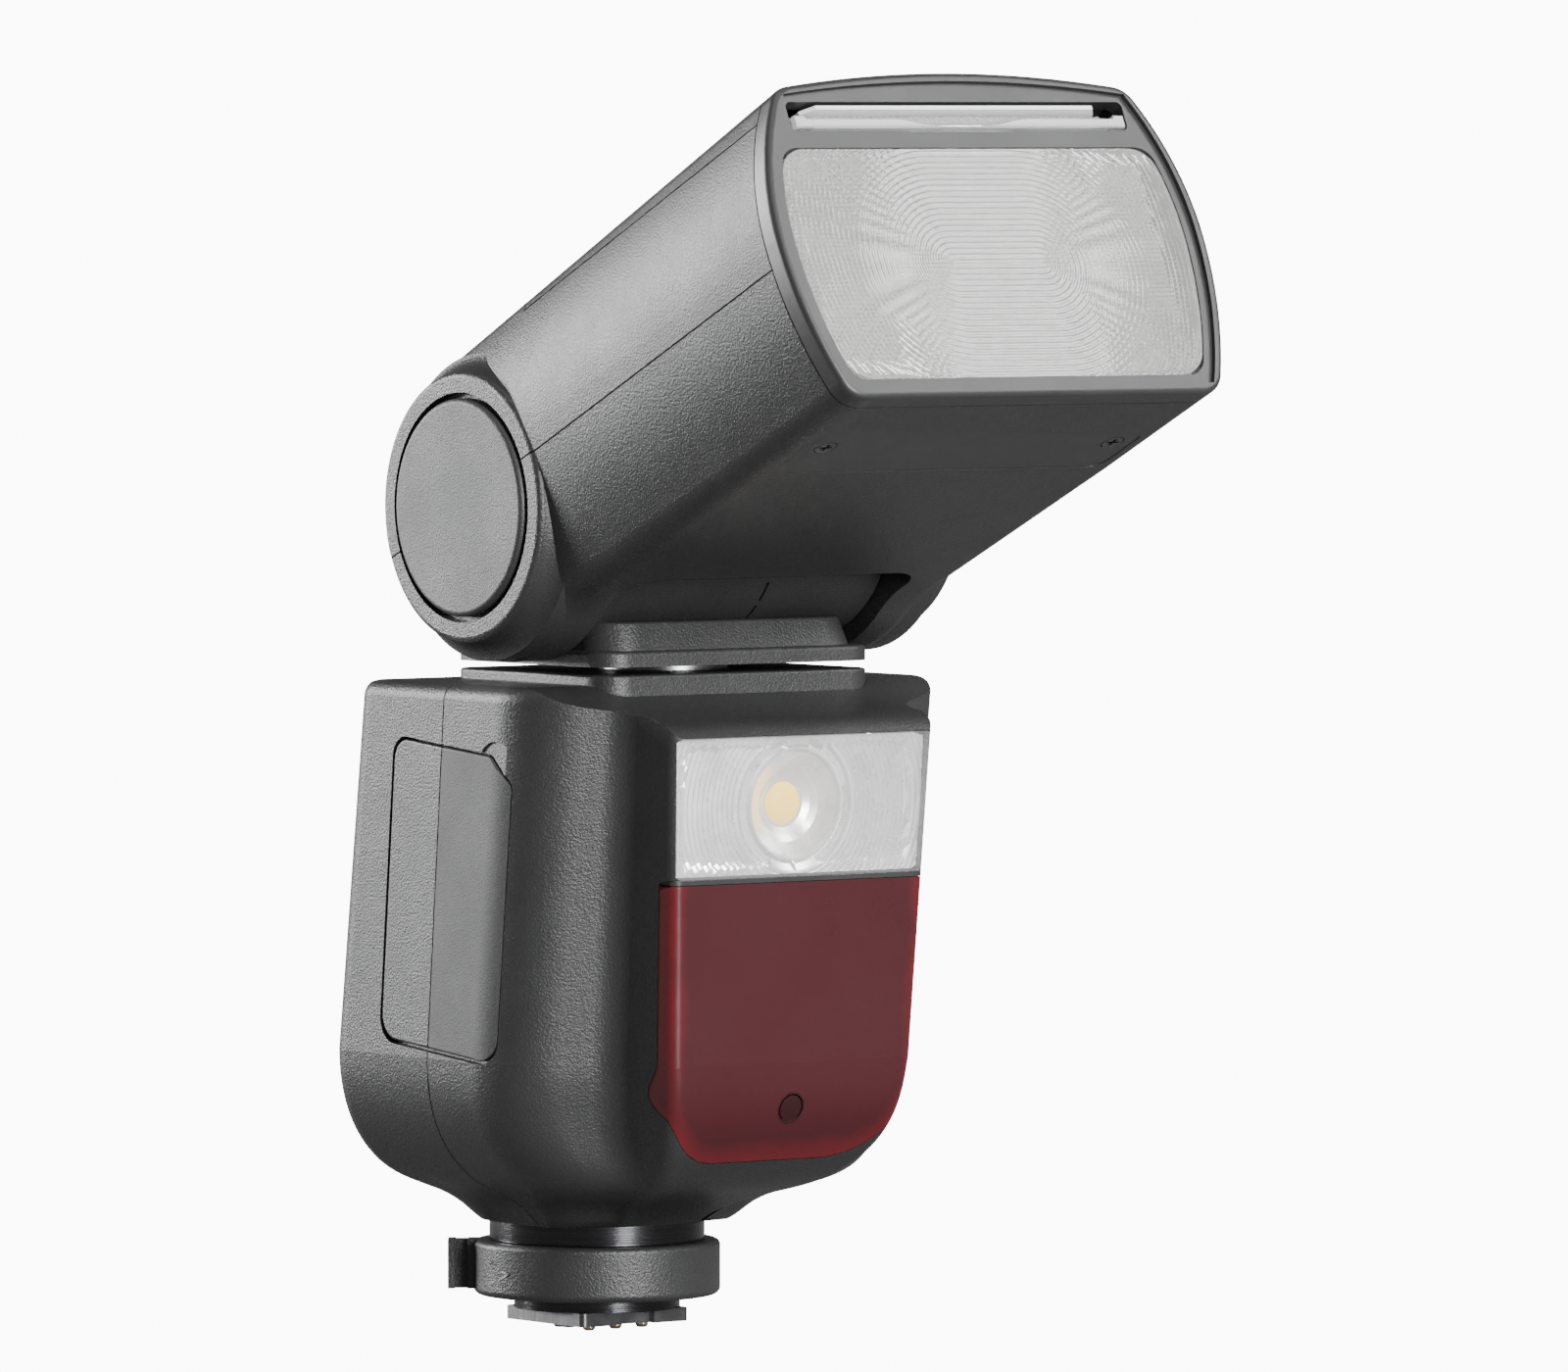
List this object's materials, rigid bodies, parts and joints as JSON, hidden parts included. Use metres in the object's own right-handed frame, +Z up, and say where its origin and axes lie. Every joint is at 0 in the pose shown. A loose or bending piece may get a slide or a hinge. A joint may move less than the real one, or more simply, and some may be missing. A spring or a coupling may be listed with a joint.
{
  "type": "speedlight flash",
  "caption": "Hot-shoe camera flash with a tilting, swivelling zoom head, front LED lamp, dark red sensor window, rear display and dial, and a turn-lock foot.",
  "frame": {"origin": "centre of the hot-shoe foot's underside", "axes": "+Z up out of the shoe, the flash fires towards -Y, +X towards the battery side"},
  "size_m": [0.0746, 0.1198, 0.1771],
  "materials": {
    "casing": "fine-grain charcoal",
    "cap": "finer charcoal grain",
    "bezel": "satin charcoal",
    "clear": "clear prismatic plastic",
    "clear_panel": "ribbed clear plastic",
    "white_card": "matt white",
    "red_pane": "dark red translucent plastic",
    "silver": "vacuum-metallised",
    "board": "solder-masked board",
    "led": "yellow phosphor",
    "black_gloss": "polished black",
    "key": "soft-touch rubber",
    "rubber": "soft moulded rubber",
    "dark_metal": "glossy black lacquer",
    "shoe_metal": "blackened steel with bright wear",
    "steel": "plain steel",
    "black_steel": "black zinc",
    "contact": "gold-flashed contact",
    "ink_label": "slightly smoother charcoal",
    "can": "shrink sleeve"
  },
  "bodies": {
    "body": {"front_shell": "casing", "rear_shell": "casing", "swivel_plinth": "casing", "led_window": "clear", "led_reflector": "silver", "led_emitter": "led", "window_divider": "bezel", "sensor_panel": "red_pane", "sensor_module": "board", "main_board": "board", "main_capacitor": "can", "battery_contacts": "contact", "side_inlay": "casing", "usb_socket": "steel", "sync_jack": "steel", "lcd_window": "black_gloss", "lcd_module": "board", "shell_screws": "black_steel", "neck_collar": "dark_metal", "shoe_boss": "dark_metal", "shoe_plate": "shoe_metal", "shoe_insert": "can", "contact_pins": "contact"},
    "yoke": {"yoke_base": "casing", "hinge_barrel": "casing", "hinge_shafts": "steel", "swivel_shaft": "steel", "swivel_retainer": "steel"},
    "head": {"head_lower_shell": "casing", "head_upper_shell": "casing", "head_top_cover": "casing", "label_plate": "ink_label", "front_bezel": "bezel", "flash_lens": "clear", "hinge_disc_left": "cap", "hinge_disc_right": "cap", "head_screws": "black_steel", "guide_rods": "steel", "drive_rail": "steel"},
    "zoom": {"reflector": "silver", "flash_tube": "clear", "zoom_carriage": "can", "zoom_motor": "steel"},
    "wide_panel": {"wide_panel": "clear_panel"},
    "bounce_card": {"bounce_card": "white_card"},
    "port_cover": {"port_cover": "rubber"},
    "battery_pack": {"battery_pack": "casing"},
    "battery_latch": {"battery_latch": "casing"},
    "control_dial": {"control_dial": "casing"},
    "set_button": {"set_button": "key"},
    "soft_key_1": {"soft_key_1": "key"},
    "soft_key_2": {"soft_key_2": "key"},
    "soft_key_3": {"soft_key_3": "key"},
    "soft_key_4": {"soft_key_4": "key"},
    "menu_button": {"menu_button": "key"},
    "mode_button": {"mode_button": "key"},
    "test_button": {"test_button": "key"},
    "power_switch": {"power_switch": "casing"},
    "lock_ring": {"lock_ring": "casing"},
    "lock_pin": {"lock_pin": "steel"}
  },
  "joints": [
    {"name": "head_swivel", "type": "hinge", "parent": "body", "child": "yoke", "pos_m": [0, -0.0159, 0.0937], "axis": [0, 0, 1], "range_deg": [-180, 150]},
    {"name": "head_tilt", "type": "hinge", "parent": "yoke", "child": "head", "pos_m": [0, -0.0187, 0.1157], "axis": [-1, 0, 0], "range_deg": [-31.9, 95.1]},
    {"name": "wide_panel_slide", "type": "slide", "parent": "head", "child": "wide_panel", "axis": [0, -0.907, 0.421], "range_m": [0, 0.038]},
    {"name": "bounce_card_slide", "type": "slide", "parent": "head", "child": "bounce_card", "axis": [0, -0.907, 0.421], "range_m": [0, 0.038]},
    {"name": "zoom_slide", "type": "slide", "parent": "head", "child": "zoom", "axis": [0, -0.907, 0.421], "range_m": [-0.0022, 0.0112]},
    {"name": "port_cover_hinge", "type": "hinge", "parent": "body", "child": "port_cover", "pos_m": [-0.036, -0.0141, 0.0917], "axis": [0, 0.0827, -0.9966], "range_deg": [0, 95]},
    {"name": "battery_slide", "type": "slide", "parent": "body", "child": "battery_pack", "axis": [1, 0, 0], "range_m": [0, 0.06]},
    {"name": "battery_latch_slide", "type": "slide", "parent": "body", "child": "battery_latch", "axis": [0, 1, 0], "range_m": [0, 0.0025], "stiffness_N_per_m": 200},
    {"name": "control_dial_turn", "type": "hinge", "parent": "body", "child": "control_dial", "pos_m": [0, 0.0151, 0.04059], "axis": [0, 0.9921, 0.1253], "continuous": true},
    {"name": "lock_ring_turn", "type": "hinge", "parent": "body", "child": "lock_ring", "pos_m": [0, 0, 0.0076], "axis": [0, 0, 1], "range_deg": [-55, 0]},
    {"name": "lock_pin_slide", "type": "slide", "parent": "body", "child": "lock_pin", "axis": [0, 0, 1], "range_m": [0, 0.0018]},
    {"name": "power_switch_slide", "type": "slide", "parent": "body", "child": "power_switch", "axis": [1, 0, 0], "range_m": [0, 0.0022]},
    {"name": "set_button_press", "type": "slide", "parent": "body", "child": "set_button", "axis": [0, -0.9921, -0.1253], "range_m": [0, 0.0006], "stiffness_N_per_m": 400},
    {"name": "soft_key_1_press", "type": "slide", "parent": "body", "child": "soft_key_1", "axis": [0, -0.9921, -0.1253], "range_m": [0, 0.0006], "stiffness_N_per_m": 400},
    {"name": "soft_key_2_press", "type": "slide", "parent": "body", "child": "soft_key_2", "axis": [0, -0.9921, -0.1253], "range_m": [0, 0.0006], "stiffness_N_per_m": 400},
    {"name": "soft_key_3_press", "type": "slide", "parent": "body", "child": "soft_key_3", "axis": [0, -0.9921, -0.1253], "range_m": [0, 0.0006], "stiffness_N_per_m": 400},
    {"name": "soft_key_4_press", "type": "slide", "parent": "body", "child": "soft_key_4", "axis": [0, -0.9921, -0.1253], "range_m": [0, 0.0006], "stiffness_N_per_m": 400},
    {"name": "menu_button_press", "type": "slide", "parent": "body", "child": "menu_button", "axis": [0, -0.9921, -0.1253], "range_m": [0, 0.0006], "stiffness_N_per_m": 400},
    {"name": "mode_button_press", "type": "slide", "parent": "body", "child": "mode_button", "axis": [0, -0.9921, -0.1253], "range_m": [0, 0.0006], "stiffness_N_per_m": 400},
    {"name": "test_button_press", "type": "slide", "parent": "body", "child": "test_button", "axis": [0, -0.9921, -0.1253], "range_m": [0, 0.0006], "stiffness_N_per_m": 400}
  ],
  "couplings": [
    {"joint": "lock_pin_slide", "follows": "lock_ring_turn", "m_per_rad": -0.00177}
  ]
}
